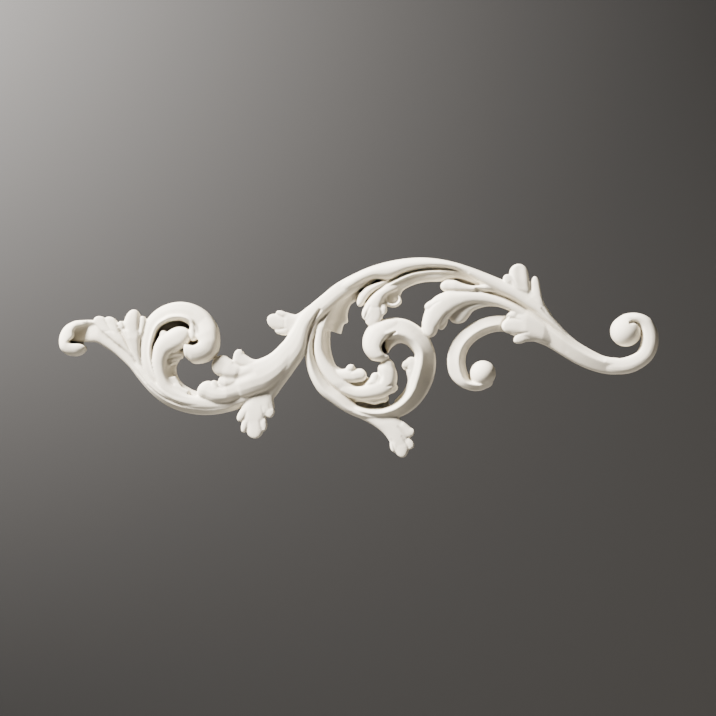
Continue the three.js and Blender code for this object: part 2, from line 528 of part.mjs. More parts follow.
function carve(shape) {
  const rows = rowsOf(shape);
  const { section } = shape;
  const edge = section[0][1];
  const geometry = new THREE.BoxGeometry(1, 1, 1, rows.length - 1, 1, section.length - 1);
  const position = geometry.getAttribute("position");
  const point = new THREE.Vector3();
  for (let i = 0; i < position.count; i++) {
    point.fromBufferAttribute(position, i);
    const row = rows[Math.round((point.x + 0.5) * (rows.length - 1))];
    const [across, share] = section[Math.round((point.z + 0.5) * (section.length - 1))];
    const { near, far, height, left } = row;
    const front = height * (edge + (share - edge) * left);
    const isFront = point.y > 0;
    point.lerpVectors(near, far, (across + 1) / 2);
    point.y = isFront ? -front : BACK_ALLOWANCE;
    position.setXYZ(i, point.x, point.y, point.z);
  }
  return solidOf(geometry);
}

// A bud is a low dome on a short round wall
function carveBud({ across, down, radius, height }) {
  const wall = height * rise * BUD_WALL;
  const dome = height * rise - wall;
  const profile = [new THREE.Vector2(0, -BACK_ALLOWANCE), new THREE.Vector2(radius * scale, -BACK_ALLOWANCE)];
  for (let i = 0; i <= BUD_STEPS; i++) {
    const turn = (i / BUD_STEPS) * (Math.PI / 2);
    const reach = i === BUD_STEPS ? 0 : radius * scale * Math.cos(turn);
    profile.push(new THREE.Vector2(reach, wall + dome * Math.sin(turn)));
  }
  const geometry = new THREE.LatheGeometry(profile, BUD_SIDES);
  geometry.rotateX(Math.PI);
  const centre = place(across, down, 0);
  geometry.translate(centre.x, 0, centre.z);
  return solidOf(geometry);
}

function backCutter() {
  const depth = 4 * BACK_ALLOWANCE;
  const geometry = new THREE.BoxGeometry(2 * LENGTH, depth, 2 * LENGTH);
  geometry.translate(0, depth / 2, 0);
  return solidOf(geometry);
}

const carved = [...forms.map(carve), ...buds.map(carveBud)].reduce((whole, next) => whole.add(next));
const applique = carved.subtract(backCutter());

function meshOf(name, solid, material) {
  const { vertProperties, triVerts } = solid.getMesh();
  const geometry = new THREE.BufferGeometry();
  geometry.setAttribute("position", new THREE.BufferAttribute(vertProperties, 3));
  geometry.setIndex(new THREE.BufferAttribute(triVerts, 1));
  geometry.computeVertexNormals();
  const mesh = new THREE.Mesh(geometry, material);
  mesh.name = name;
  return mesh;
}

const primedFoam = new THREE.MeshStandardMaterial({ color: 0xebe7df, roughness: 0.75, metalness: 0 });

const part = new THREE.Group();
part.add(meshOf("scroll_applique", applique, primedFoam));

export default part;
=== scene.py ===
"""A carved acanthus scroll applique: one fine casting that stands for the solid of the frame."""
import math

import bpy
import numpy as np
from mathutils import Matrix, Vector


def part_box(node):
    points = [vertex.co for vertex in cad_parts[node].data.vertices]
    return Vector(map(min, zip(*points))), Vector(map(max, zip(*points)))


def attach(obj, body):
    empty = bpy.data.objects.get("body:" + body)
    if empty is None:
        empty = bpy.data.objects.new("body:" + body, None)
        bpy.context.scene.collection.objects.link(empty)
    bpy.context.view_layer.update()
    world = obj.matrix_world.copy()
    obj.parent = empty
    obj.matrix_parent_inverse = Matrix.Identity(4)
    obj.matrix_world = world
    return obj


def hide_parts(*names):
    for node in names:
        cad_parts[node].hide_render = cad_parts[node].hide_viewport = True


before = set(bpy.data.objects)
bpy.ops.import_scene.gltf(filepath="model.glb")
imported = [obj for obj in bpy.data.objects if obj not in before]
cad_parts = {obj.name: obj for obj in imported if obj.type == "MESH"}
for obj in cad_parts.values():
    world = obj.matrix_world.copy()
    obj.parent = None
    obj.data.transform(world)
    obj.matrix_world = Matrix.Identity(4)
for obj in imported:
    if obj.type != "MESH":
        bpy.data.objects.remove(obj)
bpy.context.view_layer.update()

NODE = "scroll_applique"
PIECE = "acanthus_scroll"
SLOT = "primed_foam"

# The pattern that the carver works from: its outermost places across, its greatest relief, the
# place of the origin, and the side of the square photo. Its size in metres comes from the frame.
PATTERN_LEFT = 60.0
PATTERN_RIGHT = 656.7
PATTERN_RELIEF = 28.0
ORIGIN_ACROSS = 300.0
ORIGIN_DOWN = 335.0
PHOTO_SIZE = 716.0

low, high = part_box(NODE)
SCALE = (high[0] - low[0]) / (PATTERN_RIGHT - PATTERN_LEFT)
RISE = -low[1] / PATTERN_RELIEF

# Sizes of the fine mesh, in metres
STEP_ALONG = 0.0015
VOXEL = 0.0008
BACK_ALLOWANCE = 0.002

# How finely a form is drawn: points from edge to edge, rows along it and rows on its rounded tip.
# The tip stops just short of a point, and keeps its height longer where the fullness is small.
COLUMNS = 28
FEWEST_ROWS = 6
TIP_ROWS = 14
TIP_TURN = 88
TIP_FULLNESS = 0.4

# Points of a curve count as at least this far apart, so that nothing is divided by zero
SHORTEST_GAP = 1e-3

# A bud's sides and rings, the angle of its innermost ring, and its share of upright wall
BUD_SIDES = 64
BUD_RINGS = 18
BUD_CENTRE = 0.002
BUD_WALL = 0.4

# How the melted skin is softened, and how many triangles it keeps
SMOOTHING = 0.5
SMOOTHING_ROUNDS = 5
MOST_TRIANGLES = 190000

# A vein's steps for each of its points, and the most points of a short one. Then the shares of its
# line over which it rises and fades, and the height of relief that takes a vein in full.
VEIN_STEPS = 4
SHORT_VEIN = 3
FADE_IN = 0.1
FADE_OUT = 0.4
FULL_VEIN_RELIEF = 6.0

# Painted shade: the colour darkens in broad hollows, found on a grid in metres, and in fine creases,
# found on the mesh. It lies in full where the skin faces at least half to the front. Near the rim,
# where few cells of the grid are covered, the cover counts as LEAST_COVER or more.
GRID = 0.001
HOLLOW_ROUNDS = 40
HOLLOW_DEPTH = 0.0115
HOLLOW_SHARPNESS = 2.0
LEAST_COVER = 0.05
CREASE_ROUNDS = 5
CREASE_DEPTH = 0.0009
CREASE_TONE = 0.6
SOFTENING_ROUNDS = 3
FACING_GAIN = 2

# Faces that look straight back are the flat back, which meets the sides at a crisp edge
BACK_FACING = 0.95

# Colours of the primer, from its darker to its lighter clouds, and the dark colour of the painted shade in
# hollows and creases
DARK_PRIMER = (0.77, 0.72, 0.605, 1)
LIGHT_PRIMER = (0.875, 0.825, 0.71, 1)
PAINTED_SHADE_COLOUR = (0.035, 0.025, 0.018, 1)

# The sockets of a mix of two colours, which share their names with the mixes of other kinds
FIRST_COLOUR, SECOND_COLOUR, MIXED_COLOUR = 6, 7, 2

# The studio: a round room in metres, seen through a long lens in millimetres
FLOOR_LEVEL = -2.0
ROOM_RADIUS = 6.0
ROOM_HEIGHT = 9.0
ROOM_SIDES = 96
FLOOR_COLOUR = (0.55, 0.535, 0.51)
SURROUND_COLOUR = (0.11, 0.1065, 0.1035)
STAGE_ROUGHNESS = 0.95
LENS = 135.0
SENSOR = 36.0
SKY_COLOUR = (0.94, 0.95, 1, 1)
SKY_STRENGTH = 0.06


def dome(edge, squareness, power):
    """A cross-section that rises from its edge height to a rounded middle, for u from -1 to 1."""
    return lambda u: edge + (1 - edge) * np.clip(1 - np.abs(u) ** squareness, 0, 1) ** power


def cut(knots):
    """A cross-section through the places and heights given."""
    places, heights = zip(*knots)
    return lambda u: np.interp(u, places, heights)


def mirrored(section):
    """The same cross-section with its near and far edges swapped."""
    return lambda u: section(-u)


CROWN = dome(0.46, 2.4, 0.55)
CURL = cut([(-1, 0.46), (-0.95, 0.62), (-0.84, 0.77), (-0.6, 0.89), (-0.3, 0.95), (0.1, 0.99),
            (0.4, 1), (0.8, 0.98), (0.94, 0.93), (1, 0.86)])
PILLOW = dome(0.72, 2.8, 0.6)
KEEL = cut([(-1, 0.5), (-0.94, 0.62), (-0.8, 0.72), (-0.4, 0.85), (-0.08, 0.99), (0.08, 0.99),
            (0.4, 0.85), (0.8, 0.72), (0.94, 0.62), (1, 0.5)])
NEAR_KEEL = cut([(-1, 0.6), (-0.94, 0.74), (-0.8, 0.85), (-0.4, 0.99), (-0.26, 0.99), (0.2, 0.86),
                 (0.8, 0.7), (0.94, 0.62), (1, 0.5)])
NEAR_LIP = cut([(-1, 0.45), (-0.95, 0.7), (-0.85, 0.87), (-0.68, 1), (-0.54, 0.99), (-0.3, 0.87),
                (0.3, 0.83), (0.8, 0.73), (0.94, 0.62), (1, 0.45)])
ROOF = cut([(-1, 0.55), (-0.93, 0.68), (-0.82, 0.74), (0.08, 0.97), (0.22, 0.98), (0.5, 0.76),
            (0.9, 0.42), (1, 0.3)])
ROLL = cut([(-1, 0.76), (-0.93, 0.85), (-0.8, 0.91), (-0.4, 0.97), (0.1, 1), (0.5, 0.96), (0.8, 0.87),
            (0.93, 0.78), (1, 0.68)])
SHEET = dome(0.8, 3.6, 0.7)
LOBE = dome(0.86, 3, 0.7)
SLOPE = cut([(-1, 1), (-0.85, 0.97), (-0.6, 0.88), (-0.25, 0.68), (0, 0.57), (0.3, 0.52),
             (0.8, 0.5), (1, 0.4)])
PLAIN = cut([(-1, 1), (1, 1)])
FAR_KEEL = mirrored(NEAR_KEEL)
FAR_LIP = mirrored(NEAR_LIP)


def form(section, stations, tip=None):
    """A carved form: a station has its two edges on the pattern, across and down, and its crest."""
    return section, np.array(stations, float), tip


LEFT_VOLUTE = [
    form(PILLOW, [
        [143, 372, 152, 393.5, 13], [128, 350, 130, 367, 13], [112, 336, 110, 349.5, 13],
        [101, 323, 97, 342.3, 13], [94, 320.7, 92, 342, 11.8], [87, 320.4, 86.5, 341.8, 10],
        [79, 321, 77.6, 341.7, 7.2],
    ]),
    form(SLOPE, [
        [100, 324, 98, 341.8, 12], [92, 321, 90, 341.7, 13.5], [84, 321, 83.5, 341.3, 14],
        [73, 324.5, 72.5, 340.7, 14],
    ]),
    form(CURL, [
        [93, 320, 90, 325, 11], [84, 320.2, 83, 327, 14.5], [76, 321, 77.5, 328, 17.5],
        [66.5, 326, 75.2, 331.5, 19.5], [61.3, 334, 75.3, 336, 20], [60, 342, 72, 340.3, 20],
        [61.8, 349.5, 69.5, 341.5, 20], [68, 354.8, 71.5, 343.3, 20], [76, 356.5, 77, 343.9, 20],
    ], [87, 349.3]),
    form(PLAIN, [[69, 338, 70, 346, 2], [83, 338, 84, 345.5, 2]]),
]

LEFT_LEAVES = [
    form(SHEET, [
        [140, 372, 139, 364, 12], [129, 355, 132, 350, 15], [114, 341, 126, 339, 16],
        [104, 332.5, 121.5, 332, 15.7], [98, 326, 119, 327.8, 12.5],
    ]),
    form(SHEET, [
        [145, 374, 147, 370, 12], [138, 362, 142, 360, 15], [131, 348, 140.8, 348, 17],
        [126, 338, 141.3, 338, 18], [122.3, 331, 143, 331, 17.6], [121, 326, 144.3, 326.5, 13.5],
    ]),
    form(LOBE, [
        [116, 343, 121, 340, 11], [102, 331, 113, 330, 15.3], [95, 322, 107, 320.4, 15],
    ], [99.3, 316.4]),
    form(LOBE, [
        [121, 343, 125, 341, 11], [110, 328.5, 121, 333, 15.7], [106, 320.3, 119.4, 326.2, 15],
    ], [112.8, 317.5]),
    form(LOBE, [[130, 344, 134, 343, 11], [119.8, 328, 127, 326, 16.7]], [121.5, 321.3]),
    form(PILLOW, [
        [135, 356, 140, 355, 11], [128.5, 338, 140.8, 338, 17.6], [125, 323.5, 141.2, 321.5, 18.3],
    ], [134.3, 309.8]),
    form(LOBE, [
        [141, 350, 143, 350, 11], [139.5, 332, 144.5, 333, 17], [140.3, 320, 147.2, 322, 16.5],
    ], [144, 316.3]),
    form(PLAIN, [[98, 325, 107, 324, 8], [101, 335, 109, 335, 8]]),
    form(PLAIN, [[117, 326, 124, 326, 9], [122, 337, 128, 335, 9.5], [128, 350, 134, 348, 10]]),
    form(PLAIN, [[138, 318, 144, 320, 10], [139, 332, 144, 332, 10], [138, 356, 144, 356, 11]]),
]

LEFT_SPIRAL = [
    form(KEEL, [
        [100, 338, 103, 345.7, 9], [112, 345, 117, 354.8, 12], [125, 356, 130, 367.2, 13],
        [138, 370, 142, 382.7, 14], [150, 383, 154, 395.7, 15], [162, 392, 167, 405.2, 15],
        [176, 399, 182, 411.3, 15], [194, 403, 198, 414.5, 15], [212, 405, 214, 414.5, 15],
        [228, 403, 232, 411, 15], [243, 398, 247, 406, 14], [256, 392, 262, 400, 12],
    ]),
    form(PILLOW, [
        [134, 352, 125, 356, 10], [143, 366, 138, 370, 15], [154, 380, 149, 385, 17],
        [166, 389, 161, 395, 18], [181, 395.5, 177, 402.5, 18], [200, 396, 197, 409, 17],
        [220, 395, 220, 410, 16], [240, 389, 243, 405, 16], [260, 378, 264, 395, 15],
    ]),
    form(SLOPE, [
        [168, 363, 176.5, 363, 14], [166.5, 372, 176.7, 372, 16], [169, 381, 180, 380.5, 16],
        [176, 388.5, 187, 386.5, 16], [187, 395, 195, 390.7, 16], [200, 399, 203, 392.7, 15],
        [214, 402, 215, 394, 12],
    ]),
    form(FAR_LIP, [
        [162, 398, 170, 392, 12], [152, 388, 163, 384, 15], [147, 378, 159, 377, 17.5],
        [143, 368, 155.3, 367, 18.5], [141.2, 355, 153, 355, 19.3], [141.6, 343, 154, 343, 20],
        [147, 321.2, 160, 328, 21], [157, 310, 167, 323, 22], [170, 303.7, 174.5, 321, 23],
        [184, 302.2, 182, 321, 23], [198, 306, 189, 325, 23], [210, 314.5, 193, 331, 24],
        [218, 326.5, 196.5, 337, 24], [220.6, 341, 201.5, 341, 22],
    ]),
    form(CURL, [
        [198, 306, 190, 325, 14], [210, 314.5, 193.5, 331, 21], [218, 326.5, 196.5, 337, 25],
        [220.3, 341, 200.3, 341.8, 27], [217.3, 354.5, 197, 344.7, 27.8], [207, 362.2, 194, 345.6, 27.9],
        [195, 363.7, 190, 345, 27], [188, 358.8, 187.5, 344.6, 26],
    ], [184.8, 350.5]),
    form(CROWN, [
        [159, 319, 163, 324.5, 17], [167, 315, 170, 321, 22], [176, 313.8, 177, 319.5, 24],
        [186, 314.8, 184.5, 320, 25], [195, 319.3, 189.8, 323.3, 25], [198.5, 327, 190.2, 328.4, 24.5],
        [200.3, 333, 188.8, 334.6, 23.5],
    ], [194.4, 341.2]),
    form(PLAIN, [
        [150, 352, 160, 356, 2], [150, 336, 165, 342, 2], [163, 318, 172, 335, 2], [186, 316, 184, 335, 2],
        [196, 332, 184, 350, 2], [204, 340, 190, 352, 2],
    ]),
    form(PLAIN, [[176, 384, 171, 391, 15], [190, 390.5, 186, 398, 15]]),
]

CURLED_LEAF = [
    form(PILLOW, [
        [226, 402, 222, 395, 11], [203, 403.5, 203, 396, 16], [185, 401.5, 188, 394.5, 17.3],
        [171, 397, 180, 390.5, 18], [161, 389, 172.5, 384.5, 18.3], [155.5, 377, 167.5, 374, 19],
        [152.8, 364, 167, 364, 20], [153.5, 354, 168, 359, 21], [155.5, 345, 171, 354, 22],
        [161, 336.5, 178, 351, 23], [170, 331, 184.8, 347.5, 24],
    ], [189, 330]),
    form(PILLOW, [
        [155, 354, 166, 356, 16], [156.7, 343, 170, 347, 20.5], [160.5, 335.5, 171, 338, 20],
    ], [165, 330.5]),
    form(PILLOW, [
        [165, 361, 166, 356, 13], [173, 357.5, 173, 352, 17], [184.5, 355.5, 183.6, 350.4, 15],
    ]),
    form(PILLOW, [[165, 365, 166, 361, 12], [173, 361.5, 173, 357, 15], [183.5, 358.5, 183, 354.5, 13]]),
    form(PILLOW, [[166, 369, 167, 365, 11], [172, 365.5, 172, 361, 14], [179.5, 361.7, 179, 358.5, 12]]),
    form(PLAIN, [[164, 350, 164, 372, 8], [182, 349, 177, 366, 8]]),
    form(PLAIN, [[166, 378, 176, 376, 14], [172, 392, 182, 386, 14]]),
]

LEAF_OVER_STEM = [
    form(ROLL, [
        [310, 318, 318, 335, 14], [298, 330, 309, 347, 19], [285, 340.5, 297, 362, 21.5],
        [271, 353.7, 284, 378, 22.5], [257, 360, 270, 389, 22.5], [245, 362.5, 256, 394.5, 22],
        [236, 366, 243, 398.5, 20.5], [226, 372, 230, 400.8, 15],
    ]),
    form(LOBE, [
        [268, 357.5, 262, 370, 16], [254, 359.4, 246, 371, 19.8], [244.5, 354, 234.4, 363, 19.8],
    ], [237, 350.5]),
    form(LOBE, [
        [254, 362, 250, 382, 17], [239, 363.5, 234, 383, 20.6], [231.5, 359.5, 225, 379, 20.6],
        [226.5, 355.8, 221, 376, 20],
    ], [213, 362.8]),
    form(LOBE, [[242, 375, 242, 388, 15], [226.5, 376.5, 226, 388, 20]], [219.3, 380.3]),
    form(ROLL, [
        [247, 377, 247, 398, 17], [227, 384, 228, 402.2, 20.8], [218, 382.7, 214, 402.7, 20.5],
        [211.5, 381, 204, 399, 19.7],
    ], [198.8, 388]),
    form(LOBE, [[232, 385, 230, 395, 15], [219.5, 384.3, 214, 391, 20]], [213.3, 380.8]),
]

MIDDLE_STEM = [
    form(ROLL, [
        [240, 384, 262, 405, 11], [254, 369, 274, 398, 17], [267, 357, 283, 386, 20],
        [280, 346, 294, 371, 21.5], [291, 331.5, 305, 354, 22], [300, 316, 311, 331, 21.5],
        [309, 306.5, 318, 322, 20.5], [322, 295.5, 331, 311, 20], [336, 284.3, 345, 299, 20],
        [352, 275.3, 359, 290, 18], [369, 267.5, 375, 281, 12],
    ]),
]

HANGING_LEAF = [
    form(SHEET, [
        [256, 378, 282, 380, 12.5], [252, 388, 277, 391, 15], [247.5, 399, 273.7, 399, 16],
        [241.7, 408.5, 274.3, 408.5, 16.3], [243.3, 418, 267, 415, 16.2], [245.7, 426.5, 264.3, 425, 15.8],
    ], [255.3, 434]),
    form(LOBE, [
        [250, 405, 261, 404, 12], [248, 420, 263.5, 419, 16], [247, 429.8, 263.5, 429, 16.1],
    ], [255.7, 438.2]),
    form(LOBE, [[254, 404, 257, 411, 12], [241.7, 408.7, 248.5, 416.5, 16]], [238.3, 420.4]),
    form(LOBE, [[255, 414, 257, 422, 12], [243.7, 419.3, 249, 428, 15.9]], [242.4, 431.3]),
    form(LOBE, [[253, 415, 259, 410, 12], [260, 425.5, 266.2, 418.6, 15.8]], [266, 430]),
    form(LOBE, [[257, 404, 266, 396, 12], [264.2, 412, 274.4, 409.2, 16]], [271.2, 417.4]),
]

UPPER_LEAF = [
    form(SHEET, [
        [309, 306, 309, 334, 15], [296, 314.8, 296, 334, 16.3], [286, 313.2, 286, 333.5, 16.3],
        [279, 314.5, 279, 330.5, 13.5],
    ]),
    form(LOBE, [[299, 316, 298, 322, 12], [285, 312.2, 281, 319, 16]], [276.8, 312]),
    form(LOBE, [
        [296, 318, 296, 329, 12], [284, 315, 284, 331, 16.1], [276.7, 314.5, 276.3, 330, 16],
    ], [267.5, 320]),
    form(LOBE, [[298, 326, 298, 333, 12], [283, 327, 286, 335.4, 15.8]], [275.5, 331.3]),
]

HOLLOW_LEAF = [
    form(SLOPE, [
        [353, 282, 358.5, 289, 16.5], [347.5, 288, 358, 299, 17.3], [341.5, 296.5, 351, 304.5, 17.3],
        [334, 305, 348.5, 310, 17], [329, 313, 347.6, 316, 16.5], [325.5, 320, 347.8, 322.3, 16],
        [324.8, 322.5, 344, 324.3, 15.7], [323, 328.5, 341.3, 334.3, 15],
    ]),
]

CENTRAL_SPIRAL = [
    form(NEAR_KEEL, [
        [324, 308, 327, 313, 14], [314, 324, 319.5, 326, 18], [308.3, 338, 316, 338, 18.5],
        [305.6, 352, 315.5, 351, 18.5], [306.3, 364, 318.5, 362, 18.5], [310.7, 378, 324, 373, 18.5],
        [319.7, 393, 332.5, 384, 18.5], [332.7, 403.3, 343, 392, 18.5], [347, 412.5, 353.4, 402.3, 18],
        [363, 418.8, 362, 407.5, 17.2], [380, 420.3, 376, 409.5, 16], [398, 417.5, 391, 406.5, 13],
    ]),
    form(FAR_KEEL, [
        [334, 404.7, 342, 395, 8], [348.5, 413.4, 353.8, 403.8, 14.5], [362, 418.5, 361, 407, 17.8],
        [380, 420.5, 376, 409.3, 19], [398, 417.7, 390, 405.5, 20], [412.3, 410, 400, 398, 21],
        [424.3, 397.3, 406.5, 388, 22], [432.5, 381, 409.3, 376, 23], [435.6, 364, 413, 364, 24],
        [433.5, 348, 414.5, 354.5, 24], [425.3, 333, 410, 347.5, 24], [411, 321.7, 403, 343.3, 25],
        [396, 318, 395.5, 341, 26], [381, 320.3, 389, 340, 27], [369.3, 326, 384.5, 340, 26],
    ]),
    form(CURL, [
        [411, 321.7, 403, 338, 14], [396, 318, 394.5, 332.8, 22], [381, 320.3, 387.5, 337.5, 26],
        [369.3, 326, 383, 342, 27.7], [363, 338, 381, 346.5, 27.9], [363.7, 350, 381.7, 350.3, 27.9],
        [371.3, 359.7, 384, 353.7, 27.5], [381, 362, 386.3, 355, 25.5],
    ], [388, 358.7]),
    form(PILLOW, [
        [411, 338, 413.5, 352.5, 16], [404, 333.3, 405.5, 344, 20.5], [397, 332, 398.5, 343.1, 21.5],
        [390.5, 335.3, 393.3, 346, 21], [385.7, 341, 389.8, 350, 18.5], [385, 347, 388, 353.7, 14],
    ]),
    form(PILLOW, [
        [326, 311, 330, 315, 12], [317.5, 325, 326, 328, 17.7], [314, 338, 324, 340, 18.2],
        [313.5, 351, 325, 352, 18.2], [316.5, 363, 330, 362, 18.7], [322.5, 374, 337, 371, 19],
        [330.5, 384.5, 346, 381, 19.5], [340.5, 392.5, 354, 385.5, 18.5], [350, 397, 362, 388, 15],
    ]),
    form(SLOPE, [
        [333, 303, 336, 306, 16], [326, 318, 331, 325, 17], [323, 331, 330.2, 334, 16.5],
        [322.5, 345, 330.3, 345, 16.5], [325, 356, 332.5, 357, 16.5], [330, 365, 336.5, 366, 16.5],
        [337, 372, 342, 369, 16],
    ]),
    form(PLAIN, [[392, 338, 385, 356, 3], [384, 334, 379, 346, 3]]),
    form(PLAIN, [[352, 399, 354, 406, 2], [372, 400, 372, 411, 2], [388, 397.5, 390, 408, 2]]),
    form(PLAIN, [[344, 392, 342, 400, 9], [360, 394, 356, 402, 9]]),
]

SPIRAL_LEAF = [
    form(PILLOW, [
        [326, 362, 329, 373, 13], [336, 369.3, 340, 380, 17], [345, 369, 349, 382, 19.5],
        [353, 369.3, 356, 382.3, 20.3], [359.5, 368.6, 361.5, 381.3, 20],
    ], [366.3, 374.5]),
    form(PILLOW, [[341, 374, 348, 377, 14], [346, 368.3, 355, 370, 19.3]], [351.9, 364.3]),
    form(PLAIN, [[336, 378, 336, 386, 10], [350, 379, 350, 388, 9], [368, 377, 368, 388, 9]]),
    form(PILLOW, [
        [328, 384, 336, 374, 14], [340, 392.5, 345.5, 382.5, 19], [352, 398, 356, 386.3, 20],
        [364, 399.7, 364, 385.3, 21], [376, 398.5, 371, 382, 22], [386, 396, 376, 379, 23],
        [393, 391.3, 378.5, 375.5, 24], [396.5, 383, 378, 370, 24.5], [397, 374, 378.5, 366, 24.5],
        [394.3, 366, 381.8, 363, 23.5],
    ], [388, 358.7]),
    form(PILLOW, [
        [360, 388, 378, 391, 17], [366.5, 382, 380, 383, 21.5], [370.8, 377, 379.5, 376, 21],
    ], [375, 372.5]),
    form(PILLOW, [[383, 385, 387, 390, 18], [394.2, 384, 390.3, 393.3, 20]], [397.2, 389]),
    form(PILLOW, [
        [354, 397, 356, 401.5, 11], [364, 396, 364, 402, 14.5], [376, 395, 374, 404.3, 15],
        [384, 393, 382.8, 402.3, 14.5],
    ], [388.5, 398.5]),
    form(SHEET, [
        [394, 401, 410, 399, 10], [403.5, 391, 418, 388, 15.5], [407.8, 381, 421, 379, 18],
        [406, 371.5, 420, 370.5, 19], [405.3, 364.5, 418, 362.7, 19],
    ], [410.5, 357]),
    form(LOBE, [[411, 374, 415, 368, 14], [404.7, 370, 409.5, 360, 18.8]], [402.3, 363.3]),
]

LOWER_RIGHT_LEAF = [
    form(SHEET, [
        [345, 410, 384, 408, 13], [360, 418, 395, 414.5, 15.5], [374, 425.5, 401, 420.5, 16.3],
        [384, 433.7, 406.3, 428, 16.3], [389.7, 441.5, 408.3, 437.5, 16.1],
        [392.3, 447, 408.6, 444.5, 15.7],
    ], [401, 454.3]),
    form(LOBE, [[389, 432, 403, 429, 12], [394, 446.5, 408.8, 444.5, 15.9]], [402.5, 457]),
    form(LOBE, [
        [383, 418, 393, 415.5, 12], [395, 431, 404.5, 422.3, 16], [402.5, 437.5, 410.5, 427.5, 15.8],
    ], [413.3, 434.4]),
    form(LOBE, [[392, 433, 401, 429, 12], [401.5, 446, 410.3, 439, 15.8]], [412.8, 447.6]),
    form(LOBE, [[386, 433, 394, 433, 12], [390, 442, 399, 444.5, 15.8]], [393.3, 451.6]),
]

ARCH_BAND = [
    form(CROWN, [
        [322, 295.5, 329, 310, 14], [336, 284.3, 343, 298, 19], [352, 275.3, 357, 287.7, 21],
        [369, 267.5, 373, 280, 21], [387, 262.2, 390, 280.5, 21], [405, 259, 406, 273.5, 21],
        [421, 258, 421, 270.5, 21], [438, 259.3, 438, 270, 21], [455, 262.8, 452, 271, 20],
        [472, 268.2, 468, 277.5, 19.5], [488, 274.3, 482, 285.5, 19], [503, 280.5, 496, 293, 18.5],
        [518, 287, 511, 300, 18.5], [534, 297, 524, 308, 18.5], [544, 305.5, 537, 316, 18.5],
        [552, 316.5, 546, 324, 18], [562, 328, 558, 334.5, 17], [575, 340.3, 571, 346.5, 15],
        [589, 349, 586, 354, 11],
    ]),
    form(PLAIN, [
        [355, 301, 362, 304, 2], [357, 292, 366, 303, 2], [366, 280, 376, 292, 2], [384, 275, 389, 284, 2],
    ]),
    form(PLAIN, [[443, 279.8, 446, 288, 2], [455, 272, 456, 288, 2], [487, 279, 485, 294, 2]]),
    form(PLAIN, [[392, 276, 396, 283, 8], [408, 269, 410, 277, 8], [426, 267, 426, 275, 8]]),
]

ARCH_LEAF = [
    form(NEAR_LIP, [
        [486, 283, 482, 288, 8], [472, 276.5, 470, 282, 12.5], [457, 271.3, 456, 278.5, 16.5],
        [440, 269.3, 440, 281.5, 19], [425, 270, 426, 282, 19], [410, 273, 413, 285, 19.5],
        [397, 278.5, 402, 289.3, 20], [385, 285.3, 392.5, 292.5, 20], [376, 291.3, 385.5, 297, 18],
    ]),
    form(PILLOW, [
        [398, 277.7, 404, 288, 15], [386, 285, 394, 292.3, 19.5], [376.3, 291.5, 386, 297, 21.5],
        [369, 299, 384, 301.5, 22.3], [364.7, 306, 383.7, 307, 22.3], [364, 313, 383, 312.7, 20.5],
    ]),
    form(LOBE, [
        [369, 298, 382, 300, 17], [365, 308, 383.7, 309, 22.2], [365.5, 316, 383.2, 315.3, 22],
    ], [371.8, 326.4]),
    form(LOBE, [[370, 299, 378, 302, 16], [362.7, 310, 372, 314.5, 21.9]], [364.6, 320]),
    form(LOBE, [[375, 298, 383, 296, 16], [376.5, 311.5, 386.2, 307.3, 21.7]], [384.3, 314.6]),
    form(PILLOW, [
        [394, 276, 397, 282, 12], [382, 281.3, 387, 287.5, 18], [374, 284, 377.5, 290.5, 19],
        [366, 287.5, 370.5, 295.5, 19], [360, 293, 366, 302, 18],
    ], [357.7, 305.7]),
    form(SHEET, [
        [410, 277, 420, 282.8, 13], [399, 284, 409.5, 286.6, 16], [390.5, 289, 402.5, 291, 15],
        [384, 296, 400, 296, 13.5],
    ], [392, 306]),
    form(CROWN, [
        [385, 294.5, 388, 295.5, 14], [382.8, 299, 387, 299, 17], [385, 304.5, 388.8, 301.8, 18],
        [391.5, 307.7, 392.5, 303.5, 18.5], [398.3, 306, 396.3, 302.3, 18.5],
        [401.8, 301.5, 398, 299.3, 18], [399.7, 296, 397, 295.7, 16],
    ]),
    form(PLAIN, [[380, 287, 384, 292, 12], [371, 293, 377, 297, 12], [364, 301, 369, 304, 12]]),
]

RIGHT_LEAF = [
    form(PILLOW, [
        [545, 325, 539, 333, 14], [530, 313, 524, 322, 17], [515, 304.5, 510, 311.5, 18],
        [500, 298, 496, 306.3, 18.5], [485, 293.5, 480, 304, 19.5], [470, 291.5, 468, 305, 20.5],
        [457, 291.5, 459, 309, 21.5], [446, 292.3, 452, 314, 22.5], [436, 296.3, 447, 319.5, 23],
        [429, 303, 443.5, 324, 23], [424.8, 311.5, 439.8, 327, 22.5], [422, 322, 437.3, 329.3, 22],
    ], [428, 336.7]),
    form(PILLOW, [
        [458, 303, 464, 308, 15], [447, 310, 453, 312, 19.5], [440.5, 319, 449.3, 316, 19],
        [438.8, 325, 447.3, 321.5, 18.3],
    ], [442, 329.7]),
    form(PILLOW, [[444, 296, 450, 302, 16], [431.5, 300.5, 437, 310, 21]], [424.8, 308.4]),
    form(PILLOW, [
        [530, 314, 530, 319, 11], [507, 303, 508.5, 309.3, 15.5], [490, 300.8, 491, 306.3, 16.5],
        [476, 301.8, 480, 308, 17], [463, 305, 472.5, 311.5, 17], [453.5, 310, 469.3, 315.7, 17],
        [450, 315, 466.3, 319.7, 16.5],
    ], [454.5, 323.2]),
    form(PILLOW, [
        [508, 287, 506, 294, 11], [486, 285, 484, 292.5, 18], [472, 286, 471, 292, 19.5],
        [462, 283.7, 461, 292, 20], [454, 280.6, 453, 292, 20], [448, 280.5, 447.5, 292, 19],
    ], [440.2, 286.3]),
    form(PLAIN, [[474, 286, 474, 296, 12.5], [500, 288, 497, 303, 12.5], [530, 303, 526, 316, 12.5]]),
]

